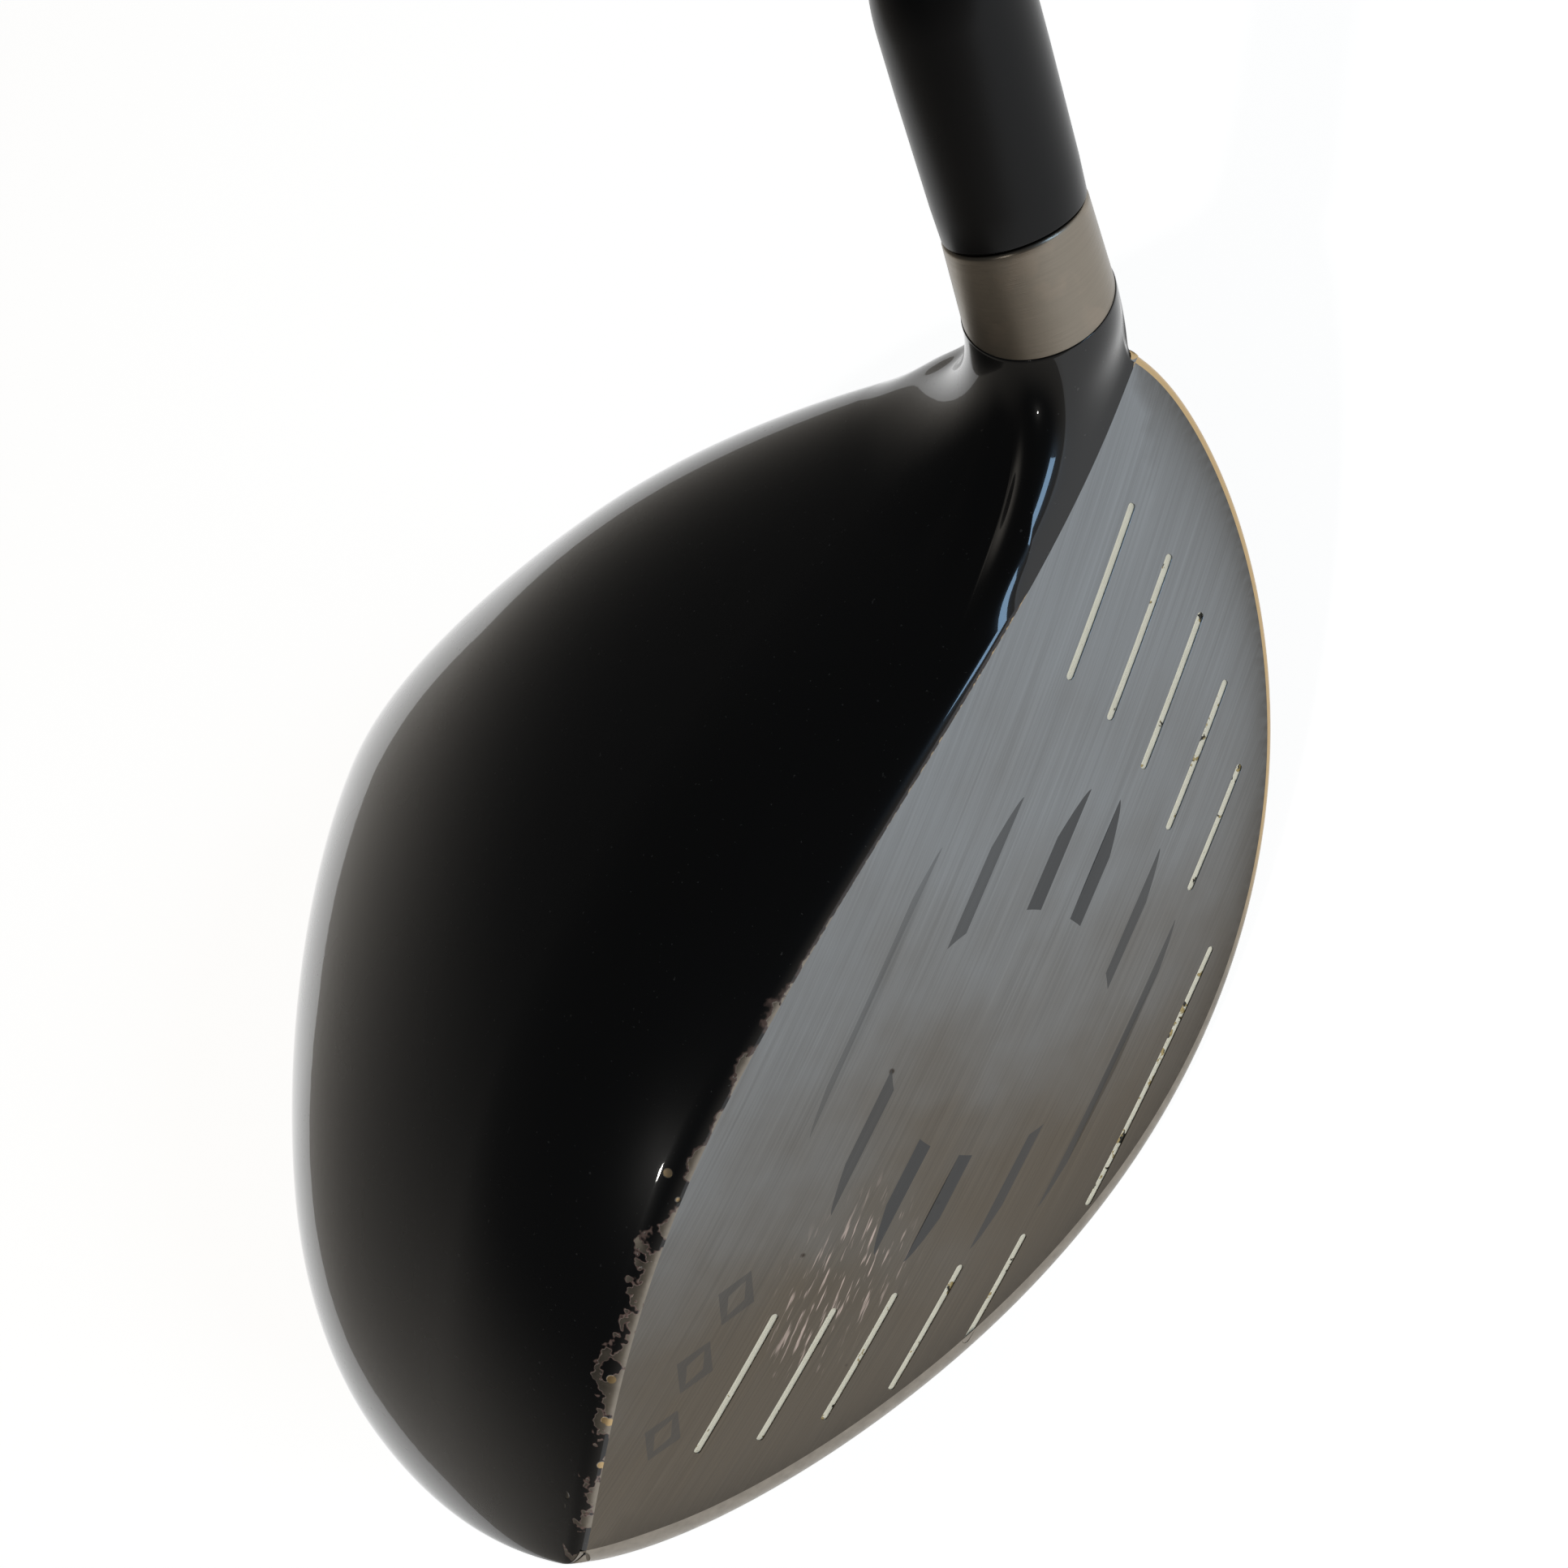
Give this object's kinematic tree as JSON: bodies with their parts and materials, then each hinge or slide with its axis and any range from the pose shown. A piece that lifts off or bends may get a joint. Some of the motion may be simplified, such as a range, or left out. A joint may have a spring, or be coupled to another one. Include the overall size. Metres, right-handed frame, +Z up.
{
  "type": "golf driver",
  "caption": "Right-handed golf driver: hollow titanium head with a scored face, bonded hosel and ferrule, tapered graphite shaft and rubber grip.",
  "frame": {"origin": "the point on the sole that rests on the ground, in the middle of its small flat", "axes": "+Z up from the ground at the club's lie angle; -Y is the way the face looks; +X from the toe to the heel and the shaft"},
  "size_m": [0.7288, 0.0996, 0.9651],
  "materials": {
    "body_paint": "gloss black",
    "crown_paint": "gloss black",
    "face_titanium": "brushed titanium",
    "score_paint": "cream paint fill",
    "hosel_titanium": "brushed titanium ring over a black painted neck",
    "plug": "moulded",
    "epoxy": "cured adhesive",
    "tungsten_pin": "turned",
    "raw_titanium": "as cast",
    "hot_melt": "tacky",
    "badge": "satin, blank",
    "ferrule_plastic": "satin gloss black",
    "shaft_graphite": "clear-coated graphite",
    "band": "blank satin film",
    "tape": "paper tape",
    "grip_rubber": "moulded pattern",
    "cap_rubber": "smooth"
  },
  "bodies": {
    "root": {"body_casting": "body_paint", "crown_plate": "crown_paint", "face_plate": "face_titanium", "score_line_paint": "score_paint", "hosel": "hosel_titanium", "bore_plug": "plug", "tip_epoxy": "epoxy", "tip_weight_pin": "tungsten_pin", "sole_ribs": "raw_titanium", "glue_dab": "hot_melt", "sole_badge": "badge", "badge_glue": "epoxy", "ferrule": "ferrule_plastic", "shaft": "shaft_graphite", "shaft_band": "band", "grip_tape": "tape", "grip": "grip_rubber", "grip_cap": "cap_rubber", "toe_weight_pad": "raw_titanium", "heel_weight_pad": "raw_titanium", "rear_weight_pad": "raw_titanium"}
  },
  "joints": []
}
